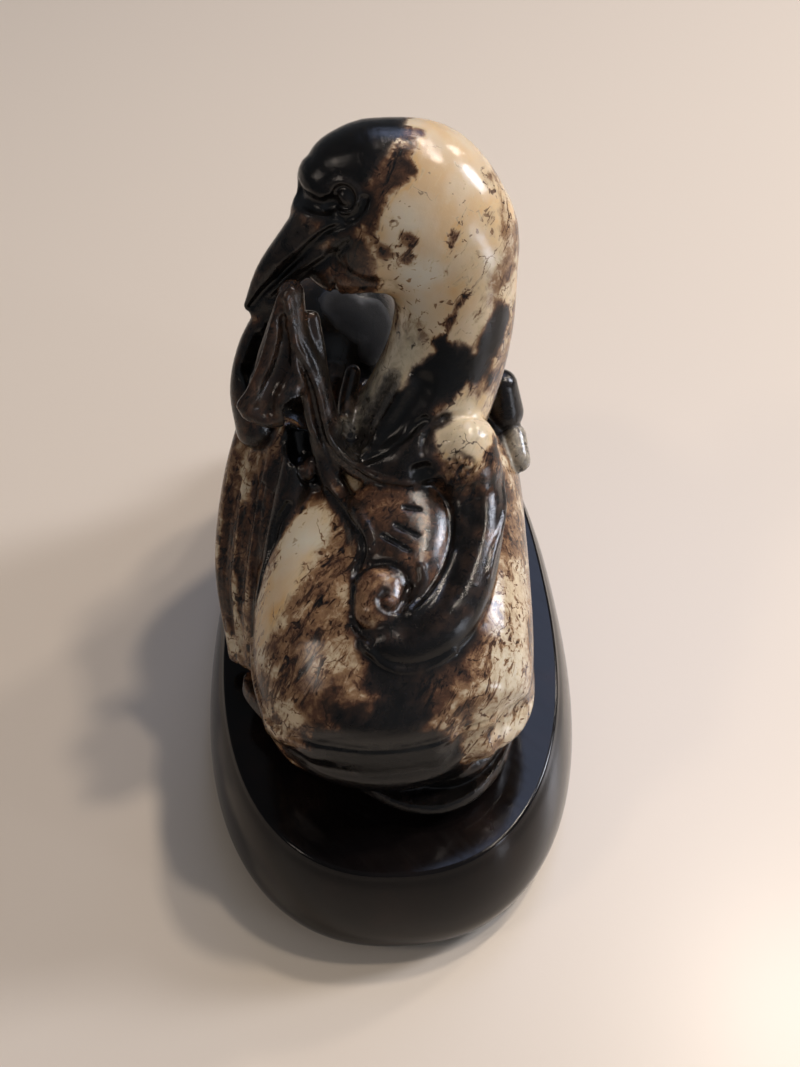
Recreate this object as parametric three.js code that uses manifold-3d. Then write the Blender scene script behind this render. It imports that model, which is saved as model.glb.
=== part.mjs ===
// A carved jade goose on its oval wooden stand, in millimetres. X runs to the goose's beak side (-X) and
// bud side (+X), -Y is the breast that the viewer faces, +Y is the tail, and Z = 0 is the stand's underside.
// The goose is one stone: body, hooked neck, head, the leaf and stem in its beak, both wings and the curled
// leaf that it sits on are lofts joined into a single solid. The stand is the second solid.
import * as THREE from "three";
import { LoftGeometry } from "three/addons/geometries/LoftGeometry.js";
import { mergeVertices } from "three/addons/utils/BufferGeometryUtils.js";
import Module from "manifold-3d";

const wasm = await Module();
wasm.setup();

const STAND_LENGTH = 92;
const STAND_WIDTH = 47.8;
const STAND_HEIGHT = 16;
const STAND_EGG = 0.12; // share by which the breast end is wider and the tail end narrower
const STAND_FULLNESS = 2.35; // 2 is an ellipse, more is squarer
const STAND_SIDES = 36;
const GOOSE_SHIFT = 0.7; // the goose sits this far towards the bud side of the stand's middle
const SEAT_Z = STAND_HEIGHT; // the stone's sawn underside lies on the stand's top face
const DOME_RINGS = 2; // rings that round off each end of a carved form

const X_AXIS = new THREE.Vector3(1, 0, 0);
const Z_AXIS = new THREE.Vector3(0, 0, 1);
const FRONT_UP = new THREE.Vector3(0, -0.6, 0.8); // out of the stone where the breast is carved

function solidFrom(geometry) {
  const bare = new THREE.BufferGeometry();
  bare.setAttribute("position", geometry.getAttribute("position"));
  bare.setIndex(geometry.getIndex());
  const merged = mergeVertices(bare, 1e-4);
  const triangles = [];
  for (let i = 0; i < merged.index.count; i += 3) {
    const [a, b, c] = merged.index.array.slice(i, i + 3);
    if (a !== b && b !== c && c !== a) triangles.push(a, b, c);
  }
  return new wasm.Manifold(
    new wasm.Mesh({
      numProp: 3,
      vertProperties: merged.attributes.position.array,
      triVerts: new Uint32Array(triangles),
    }),
  );
}

// A closed loft: each end is drawn together to the middle of its own ring.
function loft(sections) {
  const middle = (ring) => {
    const centre = new THREE.Vector3();
    ring.forEach((point) => centre.addScaledVector(point, 1 / ring.length));
    return ring.map(() => centre);
  };
  return solidFrom(new LoftGeometry([middle(sections[0]), ...sections, middle(sections.at(-1))]));
}

function geometryFrom(solid) {
  const mesh = solid.getMesh();
  const geometry = new THREE.BufferGeometry();
  geometry.setAttribute("position", new THREE.BufferAttribute(mesh.vertProperties, 3));
  geometry.setIndex(new THREE.BufferAttribute(mesh.triVerts, 1));
  geometry.computeVertexNormals();
  return geometry;
}

const join = (solids) => solids.reduce((whole, next) => whole.add(next));

// One rounded form of the carving: oval sections along a smooth path, domed at both ends.
// A station is [x, y, z, half width, half thickness]; "across" is the way that the width faces, or "facing"
// the way that the thickness does, and "blunt" is a dome's depth as a share of the half thickness there.
function limb(stations, { across = X_AXIS, facing, sides = 12, steps = 8, power = 2, blunt = 1 } = {}) {
  const path = new THREE.CatmullRomCurve3(stations.map(([x, y, z]) => new THREE.Vector3(x, y, z)));
  const size = new THREE.CatmullRomCurve3(stations.map(([, , , w, t = w]) => new THREE.Vector3(w, t, 0)));
  const sections = [];
  const ring = (u, slide, shrink) => {
    const tangent = path.getTangent(u);
    const { x: wide, y: thick } = size.getPoint(u);
    const wanted = facing ? facing.clone().cross(tangent) : across;
    const side = wanted.clone().addScaledVector(tangent, -wanted.dot(tangent)).normalize();
    const face = tangent.clone().cross(side);
    const centre = path.getPoint(u).addScaledVector(tangent, slide * blunt * Math.min(wide, thick));
    const section = [];
    for (let i = 0; i < sides; i++) {
      const angle = (2 * Math.PI * i) / sides;
      const c = Math.cos(angle);
      const s = Math.sin(angle);
      const reach = shrink / (Math.abs(c) ** power + Math.abs(s) ** power) ** (1 / power);
      const point = centre.clone().addScaledVector(side, wide * c * reach);
      section.push(point.addScaledVector(face, thick * s * reach));
    }
    sections.push(section);
  };
  const tip = (k) => (k / (DOME_RINGS + 0.5)) * (Math.PI / 2);
  for (let k = DOME_RINGS; k > 0; k--) ring(0, -Math.sin(tip(k)), Math.cos(tip(k)));
  for (let i = 0; i <= steps; i++) ring(i / steps, 0, 1);
  for (let k = 1; k <= DOME_RINGS; k++) ring(1, Math.sin(tip(k)), Math.cos(tip(k)));
  return loft(sections);
}

// The same form part way between two others, for feathers that lie side by side.
const between = (a, b, t) => a.map((row, i) => row.map((v, j) => v + (b[i][j] - v) * t));

// The body: a full, blunt breast towards the viewer, a long back and a lower rump.
const BODY_FULLNESS = 2.5;
const BODY = [
  [-0.3, -30.4, 25.6, 11.9, 7.6],
  [-0.5, -28.4, 26.6, 14.7, 9.8],
  [-0.5, -24.5, 27.6, 15.9, 11.4],
  [-0.4, -17.5, 28.6, 16.3, 12.8],
  [0, -8, 29.4, 16.2, 13.8],
  [0, 4, 30, 16.2, 14.6],
  [-1, 16, 30, 15, 14],
  [-1, 26, 28, 10, 9.5],
];
const body = () => limb(BODY, { across: X_AXIS, sides: 24, steps: 11, power: BODY_FULLNESS, blunt: 0.2 });

// Height of the body's back above the stand at a place, so that what is carved on it follows it.
function backHeight(x, y) {
  const i = Math.max(1, BODY.findIndex((row) => row[1] >= y));
  const [near, far] = [BODY[i - 1], BODY[i]];
  const t = (y - near[1]) / (far[1] - near[1]);
  const [cx, , cz, wide, thick] = near.map((v, k) => v + (far[k] - v) * t);
  const out = Math.min(0.98, Math.abs(x - cx) / wide);
  return cz + thick * (1 - out ** BODY_FULLNESS) ** (1 / BODY_FULLNESS);
}

// Stations given as [x, y, rise, ...] over the back, turned into plain ones.
function onBack(stations) {
  return stations.map(([x, y, rise, ...size]) => [x, y, backHeight(x, y) + rise, ...size]);
}

// The foot of the breast, where the stone runs down into the curled leaf.
function breastFoot() {
  const stations = [
    [-13, -24.4, 20.6, 2.4, 3.6],
    [-9, -27.2, 21.4, 3.6, 4.8],
    [-4, -29.4, 22.4, 4.4, 5.2],
    [0.6, -30.2, 22.4, 4.4, 5.2],
    [5, -30.2, 21.2, 3.2, 3.8],
  ];
  return limb(stations, { facing: FRONT_UP, sides: 8, steps: 5 });
}

// The hump of the folded wings behind the neck, seen through its loop.
function wingHump() {
  const stations = [[-8, 8.5, 43.6, 7, 6.6], [-7, 14.5, 46.2, 8.4, 8], [-1.4, 25, 38, 7, 6]];
  return limb(stations, { sides: 10, steps: 5 });
}

// The neck leaves the top of the breast, leans back and hooks over towards the beak side.
function neck() {
  const stations = [
    [-0.6, -3.6, 38, 9, 7.6],
    [1.8, -1.2, 43, 8.8, 7.6],
    [4.4, 0.4, 48, 8, 7.2],
    [6.6, 2.4, 54, 7, 6.8],
    [7.4, 4.8, 60.5, 6.7],
    [6.9, 7.2, 66.2, 6.7],
    [3.8, 8.8, 70.6, 6.6],
    [-1.5, 8.6, 71.4, 6],
  ];
  return limb(stations, { across: new THREE.Vector3(0, 0.9, -0.4), sides: 16, steps: 12 });
}

const HEAD_TILT = THREE.MathUtils.degToRad(22); // the crown leans back towards the tail
const CROWN_UP = new THREE.Vector3(0, Math.sin(HEAD_TILT), Math.cos(HEAD_TILT));

// Cheeks and throat, from the neck to the root of the beak; the width here is the head's height.
function cheeks() {
  const stations = [
    [7, 6.2, 64.4, 7.4, 5.8],
    [3.4, 6, 67.4, 7.8, 6.6],
    [-0.6, 5.9, 68.2, 7.5, 6.2],
    [-4, 5.8, 68.6, 6.6, 5],
    [-6.8, 5.6, 69.2, 4, 3.6],
  ];
  return limb(stations, { across: CROWN_UP, sides: 14, steps: 6 });
}

// The throat, which fills the corner between the beak's underside and the neck's loop.
function throat() {
  const stations = [[-8.2, 3.6, 65, 1.6], [-5.6, 3, 63.9, 2.3], [-2.6, 2.8, 64.8, 2.4]];
  return limb(stations, { sides: 8, steps: 3 });
}

// The dark knob of the forehead, which overhangs the beak.
function crownKnob() {
  const stations = [
    [2.5, 8.8, 73.2, 4.2, 4.6],
    [-1.6, 8.4, 73.6, 4.4, 5],
    [-4.8, 7.8, 72.8, 4.2, 4.6],
    [-6.6, 7.2, 72, 3.4, 3.8],
  ];
  return limb(stations, { across: CROWN_UP, sides: 12, steps: 5, blunt: 0.8 });
}

// The long closed beak; the mouth is the valley where the two halves meet.
function beak() {
  const upper = [
    [-6.4, 5.2, 70.6, 2.6, 2.8],
    [-9.9, 4, 67.4, 1.9, 2.3],
    [-13.1, 3.1, 64, 1.3, 1.5],
    [-15.4, 2.4, 60.2, 0.6, 0.6],
  ];
  const lower = [
    [-4.6, 4.4, 67.4, 2.4, 2.8],
    [-8.3, 3.8, 65.4, 1.6, 2.2],
    [-11.9, 3, 62.5, 1.1, 1.4],
    [-14.9, 2.3, 59.6, 0.5, 0.5],
  ];
  return join([upper, lower].map((half) => limb(half, { across: CROWN_UP, sides: 9, steps: 5 })));
}

// The eye: a small boss on the side that faces the viewer.
const eye = () => limb([[-4.7, 3.4, 72.4, 1.2], [-4.7, 2.9, 72.8, 1.1]], { sides: 8, steps: 1 });

const group = new THREE.Group();

const JADE = new THREE.MeshStandardMaterial({ color: 0x8f8571, roughness: 0.22, metalness: 0 });
const BLACKWOOD = new THREE.MeshStandardMaterial({ color: 0x2a1b16, roughness: 0.3, metalness: 0 });

function addPart(name, solid, material, x = 0) {
  const mesh = new THREE.Mesh(geometryFrom(solid), material);
  mesh.name = name;
  mesh.position.x = x;
  group.add(mesh);
}

// The leaf that the beak holds: a narrow fold at the top that opens into a curled cup at the bottom.
function heldLeaf() {
  const front = [
    [-10.6, -0.8, 64, 1.4, 1.2],
    [-11.5, -2.2, 59.6, 2.2, 1.4],
    [-12.6, -4, 55, 3.2, 1.7],
    [-13.2, -5, 53.6, 3.6, 2],
    [-13.3, -5.7, 51.9, 3, 1.7],
  ];
  const back = [
    [-11.6, 3, 62.6, 1.5, 1.5],
    [-13.2, 2.4, 58.8, 1.8, 1.6],
    [-15.2, 1, 55, 2, 1.8],
    [-16.2, -0.8, 51, 2.1, 2],
    [-15.6, -2.4, 46.4, 2.4, 2.4],
  ];
  const rim = [
    [-10.7, -1.4, 64.3, 0.8],
    [-12.1, -3, 61, 0.8],
    [-13.4, -4.6, 57.2, 0.9],
    [-15, -5.8, 54.6, 1],
    [-15.8, -6.5, 53, 1],
    [-13.6, -7.1, 51.9, 0.9],
  ];
  const across = new THREE.Vector3(0.9, -0.45, 0);
  return join([
    limb(front, { across, sides: 10, steps: 7 }),
    limb(back, { across, sides: 10, steps: 5 }),
    limb(rim, { sides: 6, steps: 7 }),
  ]);
}

// The stem of the leaf: cords that run down in front of the loop, then round the root of the neck.
function stem() {
  const main = [
    [-10.4, -1, 64.4, 1.3, 1.3],
    [-10, -2.2, 60, 1.2, 1.3],
    [-8.5, -3.2, 56, 1.2, 1.4],
    [-7.5, -4.4, 51.2, 1.3, 1.5],
    [-6.4, -6, 46.2, 1.3, 1.4],
    ...onBack([[-3.4, -8.8, 2.4, 1.2, 1.3], [-0.6, -10.4, 3, 1.1, 1.2], [2.8, -10.4, 3, 1, 1.1]]),
  ];
  const left = [
    [-10.8, -1.2, 63.5, 1.2, 1.2],
    [-10.5, -2.8, 57.8, 1.2, 1.3],
    [-9.8, -3.8, 54.2, 1.2, 1.3],
    [-9.1, -5, 49.6, 1.2, 1.3],
    [-8.2, -6.2, 45, 1.3, 1.4],
    ...onBack([[-6.4, -9.4, 0, 1.4, 1.4], [-4.6, -13.4, 0, 1.2, 1.3], [-3.8, -17.4, -0.2, 1, 1.1]]),
  ];
  const root = [
    [-4.4, 1.6, 51, 1, 1.2],
    [-5.2, -0.8, 48.4, 1.1, 1.3],
    [-5, -4, 46, 1.2, 1.4],
  ];
  const web = [
    [-9.2, -1, 61, 1.6, 0.8],
    [-8.6, -2.6, 56.4, 1.6, 0.8],
    [-7.6, -4.2, 50.6, 1.2, 0.8],
    [-6.8, -5.8, 46, 1.4, 1],
  ];
  const boss = onBack([[-9.2, -5.4, 0.3, 1.3, 1.2], [-8.9, -7.2, 0.2, 1.2, 1.1]]);
  return join([
    limb(main, { facing: FRONT_UP, sides: 6, steps: 10 }),
    limb(left, { facing: FRONT_UP, sides: 6, steps: 9 }),
    limb(root, { sides: 7, steps: 3 }),
    limb(web, { sides: 6, steps: 4 }),
    limb(boss, { facing: FRONT_UP, sides: 8, steps: 1 }),
  ]);
}

// The wing on the breast: a rounded tip beside the neck, a long curve and a spiral shoulder.
function scrollWing() {
  const tip = [[7.7, -7.2, 47.2, 4.1, 4], [8.1, -8.6, 45.4, 4.2, 4]];
  const root = [
    [-2.6, -8.8, 46.6, 1.4, 1.2],
    [0.8, -9.1, 47.3, 2.8, 1.8],
    [4.2, -8.5, 47.7, 3.2, 2],
    [7.6, -7.4, 47.6, 3, 1.8],
  ];
  const web = onBack([
    [0.2, -11, 0.9, 5, 2.4],
    [0.5, -14.5, 0.4, 5.8, 2.4],
    [1, -19, 0, 4.7, 2.4],
    [1.2, -22, -0.4, 4, 2.2],
  ]);
  const comma = onBack([
    [8.4, -9.4, 1.6, 3.9, 3.6],
    [9, -12.4, 1.2, 3.4, 3.2],
    [8.6, -17, 0.6, 3, 2.8],
    [6.8, -22.4, 0.5, 3.1, 2.6],
    [4.3, -25.4, 0.6, 3.4, 2.6],
    [1.2, -26.8, 0.6, 3.3, 2.4],
    [-1.4, -27.2, 0.7, 2.6, 2],
    [-3.2, -27.4, 0.8, 1.3, 1.4],
  ]);
  const scroll = onBack([[-2, -21.6, 0.5, 3.1, 2.3], [-2.1, -24.4, 0.6, 3, 2.2]]);
  const scrollEye = onBack([[-1, -24.3, 2.4, 1.1, 0.9], [-0.9, -24.6, 2.4, 1.1, 0.9]]);
  return join([
    limb(web, { sides: 10, steps: 3 }),
    limb(root, { facing: FRONT_UP, sides: 10, steps: 4 }),
    limb(scroll, { facing: FRONT_UP, sides: 10, steps: 1 }),
    limb(scrollEye, { facing: FRONT_UP, sides: 6, steps: 1 }),
    limb(comma, { facing: FRONT_UP, sides: 10, steps: 11 }),
    limb(tip, { sides: 10, steps: 1 }),
  ]);
}

// The wing on the beak side: long feathers that hang side by side from the shoulder to the stand.
function hangingWing() {
  const outer = [
    [-16, 2, 45, 1.8, 2],
    [-18.4, -3, 38, 2, 2.2],
    [-19.8, -8, 29.8, 2.1, 2],
    [-19.6, -14.2, 19.2, 1.4, 1.4],
  ];
  const inner = [
    [-10.4, -4.4, 45.4, 2, 2.2],
    [-12, -8.4, 40, 2.2, 2.4],
    [-14.2, -12.6, 31.6, 2.4, 2.4],
    [-16, -17.2, 20.8, 1.7, 1.7],
  ];
  const FEATHERS = 4;
  const feathers = [];
  for (let i = 0; i < FEATHERS; i++)
    feathers.push(limb(between(outer, inner, i / (FEATHERS - 1)), { sides: 8, steps: 4 }));
  const shoulder = [[-12.5, 2, 39.5, 4.5, 5], [-14.6, -4, 33, 4, 4.5], [-14.8, -9, 26, 3.2, 3.5]];
  return join([...feathers, limb(shoulder, { sides: 8, steps: 4 })]);
}

// Long feathers along a flank, from behind the neck to the rump.
function flankFeathers(side) {
  const top = [[11.4, 8, 40, 2.4, 2.2], [10.6, 18, 37.6, 2.8, 2.4], [5.4, 30, 32.6, 1.3, 1.2]];
  const low = [[14.8, 6, 28, 2.4, 2.2], [13.4, 17, 27.4, 2.8, 2.4], [7.4, 28, 26, 1.3, 1.2]];
  const ROWS = 3;
  const rows = [];
  for (let i = 0; i < ROWS; i++) {
    const row = between(top, low, i / (ROWS - 1)).map(([x, ...rest]) => [side * x, ...rest]);
    rows.push(limb(row, { across: Z_AXIS, sides: 6, steps: 3 }));
  }
  return join(rows);
}

// The bud on the far side of the neck: two beads, the lower one smaller.
function bud() {
  return join([
    limb([[13.6, 6.6, 44.2, 2, 2.2], [14, 5.6, 40.8, 2.5, 2.6]], { sides: 10, steps: 2 }),
    limb([[15.1, 3.4, 38.6, 1.7, 1.7], [15.6, 0.6, 37.2, 1.5, 1.6]], { sides: 10, steps: 2 }),
  ]);
}

// The curled leaf below the goose: a dish that is drawn out to a raised tip on the beak side, and its folded edge.
function leafDish() {
  const SIDES = 32;
  const outline = [ // x, y, and the rim's height as a share
    [15.4, -10, 1], [15, -22, 1.15], [13.4, -28.5, 1.2], [11.4, -32.6, 1.05], [7.8, -36, 0.9],
    [4, -37.2, 0.8], [-0.5, -36.4, 0.8], [-5.9, -33, 0.85], [-12.9, -27.6, 1.1], [-17, -24, 1.35],
    [-18.8, -20.6, 1.5], [-16.2, -17, 1.2], [-15.2, -8, 1], [-15.2, 6, 0.9], [-14.4, 20, 1],
    [-9.6, 32, 1.1], [0, 36, 1], [9.6, 32, 1.1], [14.4, 20, 1], [15.3, 6, 0.9],
  ];
  const levels = [
    { inset: 2.8, z: 0 },
    { inset: 0.9, z: 1.4 },
    { inset: 0, z: 3.2 },
    { inset: 0.5, z: 4.4 },
    { inset: 2, z: 4 },
    { inset: 5, z: 3.4 },
  ];
  const edge = new THREE.CatmullRomCurve3(outline.map((row) => new THREE.Vector3(...row)), true);
  const sections = levels.map(({ inset, z }) => {
    const ring = [];
    for (let i = 0; i < SIDES; i++) {
      const at = edge.getPoint(i / SIDES);
      const inward = 1 - inset / Math.hypot(at.x, at.y);
      ring.push(new THREE.Vector3(at.x * inward, at.y * inward, SEAT_Z + z * at.z));
    }
    return ring.reverse();
  });
  const fold = [
    [-1.6, -30.4, 20.8, 0.9, 1.1],
    [1.5, -32, 20.2, 1.2, 1.4],
    [5, -32.8, 20, 1.4, 1.7],
    [8.4, -31.6, 20.4, 1.4, 1.7],
    [11, -29, 21, 1.2, 1.5],
    [13, -25.4, 21.8, 0.9, 1.1],
  ];
  return loft(sections).add(limb(fold, { facing: FRONT_UP, sides: 7, steps: 7 }));
}

// The tail: a fan of short feathers over the rump.
function tail() {
  const FAN = 5;
  const SPREAD = 2.4; // how much further apart the feathers are at each station
  const middle = [[20, 33, 2.6, 2.4], [28, 30.6, 2.8, 1.8], [34.4, 28, 1.5, 0.9]];
  const feathers = [];
  for (let i = 0; i < FAN; i++) {
    const turn = (2 * i) / (FAN - 1) - 1;
    const droop = turn * turn;
    const row = middle.map(([y, z, width, thick], k) => [
      turn * (3.2 + SPREAD * k),
      y - 1.2 * k * droop,
      z - 1.6 * droop,
      width,
      thick,
    ]);
    feathers.push(limb(row, { sides: 6, steps: 3 }));
  }
  return join(feathers);
}

// Everything below the seat is sawn off flat.
function sawFlat(stone) {
  const DEPTH = 40;
  const below = new THREE.BoxGeometry(2 * STAND_LENGTH, 2 * STAND_LENGTH, DEPTH);
  below.translate(0, 0, SEAT_Z - DEPTH / 2);
  return stone.subtract(solidFrom(below));
}

function goose() {
  return sawFlat(join([
    body(), breastFoot(), wingHump(), neck(), cheeks(), throat(), crownKnob(), beak(), eye(),
    heldLeaf(), stem(), scrollWing(), hangingWing(), flankFeathers(-1), flankFeathers(1),
    bud(), leafDish(), tail(),
  ]));
}

// The stand: an egg-shaped block with a bulging side and a crisp edge round its flat top.
function stand() {
  const levels = [
    { z: 0, inset: 3.2 },
    { z: 0.6, inset: 1.9 },
    { z: 2.2, inset: 0.6 },
    { z: 4.6, inset: 0 },
    { z: 7.6, inset: 0.2 },
    { z: 11, inset: 0.9 },
    { z: 14, inset: 1.9 },
    { z: 15.5, inset: 2.6 },
    { z: STAND_HEIGHT, inset: 3.1 },
  ];
  const rounded = (v) => Math.sign(v) * Math.abs(v) ** (2 / STAND_FULLNESS);
  const sections = levels.map(({ z, inset }) => {
    const ring = [];
    for (let i = 0; i < STAND_SIDES; i++) {
      const a = (2 * Math.PI * i) / STAND_SIDES;
      const x = rounded(Math.cos(a));
      const y = rounded(Math.sin(a));
      ring.push(new THREE.Vector3(
        (STAND_WIDTH / 2 - inset) * x * (1 - STAND_EGG * y),
        (STAND_LENGTH / 2 - inset) * y,
        z,
      ));
    }
    return ring;
  });
  return loft(sections);
}

addPart("jade_goose", goose(), JADE, GOOSE_SHIFT);
addPart("oval_stand", stand(), BLACKWOOD);

export default group;
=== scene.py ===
"""A jade goose carving on its oval dark wooden stand: carved stone, lacquered wood and the view.

The stone is built from the same rounded forms as its solid, melted together in a fine distance field, then
carved with grooves and ridges. Sizes are in millimetres until a mesh is made. Z = 0 is the stand's underside.
"""
import math

import bpy
import numpy as np
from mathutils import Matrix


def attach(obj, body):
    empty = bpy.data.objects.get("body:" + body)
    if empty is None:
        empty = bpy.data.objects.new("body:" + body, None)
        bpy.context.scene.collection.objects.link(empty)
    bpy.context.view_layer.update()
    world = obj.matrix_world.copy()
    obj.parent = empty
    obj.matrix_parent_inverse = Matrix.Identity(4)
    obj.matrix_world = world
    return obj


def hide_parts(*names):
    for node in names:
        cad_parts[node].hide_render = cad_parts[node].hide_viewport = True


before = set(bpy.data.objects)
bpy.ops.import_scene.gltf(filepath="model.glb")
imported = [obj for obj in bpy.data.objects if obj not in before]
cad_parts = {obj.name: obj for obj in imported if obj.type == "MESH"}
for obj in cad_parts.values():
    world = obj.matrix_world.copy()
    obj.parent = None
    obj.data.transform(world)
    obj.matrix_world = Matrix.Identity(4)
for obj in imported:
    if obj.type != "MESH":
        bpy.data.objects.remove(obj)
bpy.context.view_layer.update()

import openvdb
from mathutils import Vector

MM = 0.001

# The view

IMAGE_WIDTH = 800
FOCAL_PIXELS = 1200  # lens length in pixels of the photo's width
SENSOR_MM = 36
CAMERA_RISE = math.radians(48)
CAMERA_TURN = math.radians(2)
CAMERA_DISTANCE = 156
CAMERA_AIM = Vector((1.7, 0, 25))


def make_camera():
    lens = bpy.data.cameras.new("camera")
    lens.sensor_fit = "HORIZONTAL"
    lens.sensor_width = SENSOR_MM
    lens.lens = FOCAL_PIXELS / IMAGE_WIDTH * SENSOR_MM
    lens.clip_start = 0.005
    camera = bpy.data.objects.new("camera", lens)
    bpy.context.collection.objects.link(camera)
    level = math.cos(CAMERA_RISE)
    forward = Vector((math.sin(CAMERA_TURN) * level, math.cos(CAMERA_TURN) * level, -math.sin(CAMERA_RISE)))
    camera.location = (CAMERA_AIM - CAMERA_DISTANCE * forward) * MM
    camera.rotation_euler = forward.to_track_quat("-Z", "Y").to_euler()
    bpy.context.scene.camera = camera


make_camera()

# Rounded forms

STAND_HEIGHT = 16.0  # the goose rests at this height
GOOSE_SHIFT = 0.7  # the goose sits this far towards the bud side of the stand's middle
DOME_RINGS = 5
SECTION_PACE = 0.7  # distance between a form's sections
TOO_CLOSE = 1e-4  # stations nearer than this count as one
X_AXIS = np.array([1.0, 0, 0])
Z_AXIS = np.array([0, 0, 1.0])
FRONT_UP = np.array([0, -0.6, 0.8])  # out of the stone where the breast is carved
HEAD_TILT = math.radians(22)
CROWN_UP = np.array([0, math.sin(HEAD_TILT), math.cos(HEAD_TILT)])
NECK_ACROSS = np.array([0, 0.9, -0.4])


def unit(vector):
    return vector / np.linalg.norm(vector)


def along(stations, share):
    """The point at that share of the way along a smooth curve through the stations."""
    last = len(stations) - 1
    place = min(max(share, 0.0), 1.0) * last
    i = min(int(place), last - 1)
    weight = place - i
    before = stations[i - 1] if i > 0 else 2 * stations[0] - stations[1]
    after = stations[i + 2] if i + 2 <= last else 2 * stations[last] - stations[last - 1]
    points = [before, stations[i], stations[i + 1], after]
    gaps = [np.sum((b - a) ** 2) ** 0.25 for a, b in zip(points, points[1:])]
    middle = gaps[1] if gaps[1] > TOO_CLOSE else 1.0
    first = gaps[0] if gaps[0] > TOO_CLOSE else middle
    final = gaps[2] if gaps[2] > TOO_CLOSE else middle
    a, b, c, d = points
    leave = ((b - a) / first - (c - a) / (first + middle) + (c - b) / middle) * middle
    arrive = ((c - b) / middle - (d - b) / (middle + final) + (d - c) / final) * middle
    return (b + leave * weight + (3 * (c - b) - 2 * leave - arrive) * weight ** 2
            + (2 * (b - c) + leave + arrive) * weight ** 3)


def limb(stations, across=X_AXIS, facing=None, sides=28, power=2.0, blunt=1.0):
    """One rounded form: oval sections along a smooth path, domed at both ends, as points and quads.

    A station is (x, y, z, half width, half thickness); across is the way that the width faces, or facing the
    way that the thickness does. A power above 2 squares the ovals, and blunt is how far the domes stand out.
    """
    rows = np.array([(*row, row[3]) if len(row) == 4 else row for row in stations], float)
    centres, sizes = rows[:, :3], rows[:, 3:5]
    length = np.sum(np.linalg.norm(np.diff(centres, axis=0), axis=1))
    steps = max(2, int(round(length / SECTION_PACE)))
    angles = np.arange(sides) * 2 * np.pi / sides
    c, s = np.cos(angles), np.sin(angles)
    reach = (np.abs(c) ** power + np.abs(s) ** power) ** (-1 / power)
    rings = []

    def ring(share, slide, shrink):
        step = 1e-4
        tangent = unit(along(centres, share + step) - along(centres, share - step))
        wide, thick = along(sizes, share)
        wanted = across if facing is None else np.cross(facing, tangent)
        side = unit(wanted - tangent * np.dot(wanted, tangent))
        face = np.cross(tangent, side)
        centre = along(centres, share) + tangent * slide * blunt * min(wide, thick)
        reached = reach * shrink
        rings.append(centre + np.outer(wide * c * reached, side) + np.outer(thick * s * reached, face))

    tips = [(k + 1) / (DOME_RINGS + 0.5) * np.pi / 2 for k in range(DOME_RINGS)]
    for tip in reversed(tips):
        ring(0, -np.sin(tip), np.cos(tip))
    for i in range(steps + 1):
        ring(i / steps, 0, 1)
    for tip in tips:
        ring(1, np.sin(tip), np.cos(tip))
    return closed(rings)


def closed(rings):
    """Points and quads of a closed skin over the rings, drawn together to a point at each end."""
    first, last = rings[0].mean(0), rings[-1].mean(0)
    rings = [np.tile(first, (len(rings[0]), 1)), *rings, np.tile(last, (len(rings[0]), 1))]
    sides = len(rings[0])
    quads = []
    for i in range(len(rings) - 1):
        for j in range(sides):
            k = (j + 1) % sides
            quads.append((i * sides + j, i * sides + k, (i + 1) * sides + k, (i + 1) * sides + j))
    return np.concatenate(rings), np.array(quads)


def between(a, b, share):
    """The same form part way between two others, for feathers that lie side by side."""
    return [[p + (q - p) * share for p, q in zip(row, other)] for row, other in zip(a, b)]


# The stone as a field

VOXEL = 0.24
BAND = 8  # voxels of true distance kept on each side of the surface
STONE_LOW = np.array([-23.0, -39.0, 14.5])
STONE_HIGH = np.array([20.0, 38.5, 80.0])
GRID = np.ceil((STONE_HIGH - STONE_LOW) / VOXEL).astype(int)
FAR = BAND * VOXEL
STAIN_MARGIN, SWEPT_MARGIN, STROKE_MARGIN = 1.5, 3, 2  # room that is left round a path, in millimetres
STROKE_PACE, LAYING_STEPS = 0.4, 5

# gap is the distance to the stone's surface, negative inside it. tone is how dark the jade is, from 0, cream,
# to 1, black. vein is how strongly brown streaks run through it.
gap = np.full(GRID, FAR, np.float32)
tone = np.full(GRID, 0.5, np.float32)
vein = np.full(GRID, 0.5, np.float32)


def ragged_field(seed, layers):
    """Smooth noise over the whole grid, in millimetres: layers of lumps, each of one size and height."""
    chance = np.random.default_rng(seed)
    field = np.zeros(GRID, np.float32)
    for size, height in layers:
        counts = np.ceil(GRID * VOXEL / size).astype(int) + 2
        lumps = chance.uniform(-1, 1, counts).astype(np.float32)
        for axis in range(3):
            place = np.arange(GRID[axis], dtype=np.float32) * VOXEL / size
            base = place.astype(int)
            t = place - base
            t = (t * t * (3 - 2 * t)).reshape([-1 if k == axis else 1 for k in range(3)])
            lumps = np.take(lumps, base, axis) * (1 - t) + np.take(lumps, base + 1, axis) * t
        field += height * lumps
    return field


# How unevenly one colour gives way to the next.
ragged = ragged_field(11, ((3.6, 0.5), (1.6, 0.5), (0.7, 0.4)))


def window(points, margin):
    """The part of the grid round some points, as slices and its first voxel."""
    low = np.floor((points.min(0) - margin - STONE_LOW) / VOXEL).astype(int)
    high = np.ceil((points.max(0) + margin - STONE_LOW) / VOXEL).astype(int) + 1
    low, high = np.maximum(low, 0), np.minimum(high, GRID)
    return tuple(slice(a, b) for a, b in zip(low, high)), low


def distance(form, part, low):
    """Distance to a closed form at each voxel of that part of the grid."""
    points, quads = form
    place = openvdb.createLinearTransform(VOXEL)
    grid = openvdb.FloatGrid.createLevelSetFromPolygons(
        (points - STONE_LOW).astype(np.float32), quads=quads.astype(np.uint32), transform=place,
        halfWidth=BAND)
    away = np.empty([s.stop - s.start for s in part], np.float32)
    grid.copyToArray(away, ijk=tuple(int(v) for v in low))
    return away


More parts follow.
